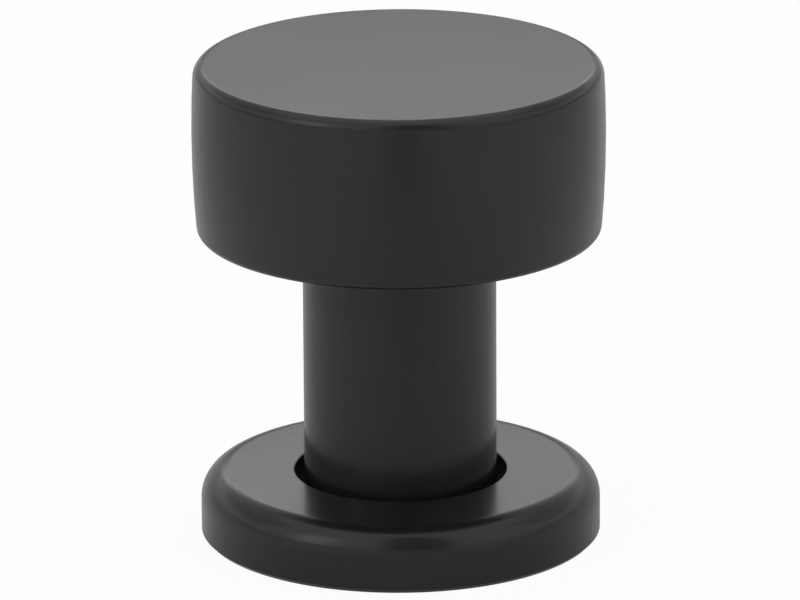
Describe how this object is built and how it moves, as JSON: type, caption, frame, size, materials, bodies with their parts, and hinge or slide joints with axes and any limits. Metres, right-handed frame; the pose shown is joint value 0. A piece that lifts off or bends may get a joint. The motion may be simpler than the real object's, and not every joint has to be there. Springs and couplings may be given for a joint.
{
  "type": "cabinet knob",
  "caption": "Round satin-black cabinet knob: a thick soft-edged head on a straight stem, tapped from its foot, standing in the seat of a loose round backplate.",
  "frame": {"origin": "middle of the backplate's back, the face that lies on the door", "axes": "+Z out from the door along the knob's axis; the part is round about it, so X and Y are free"},
  "size_m": [0.032, 0.032, 0.0378],
  "materials": {
    "black_coat": "satin"
  },
  "bodies": {
    "root": {"knob": "black_coat", "backplate": "black_coat"}
  },
  "joints": []
}
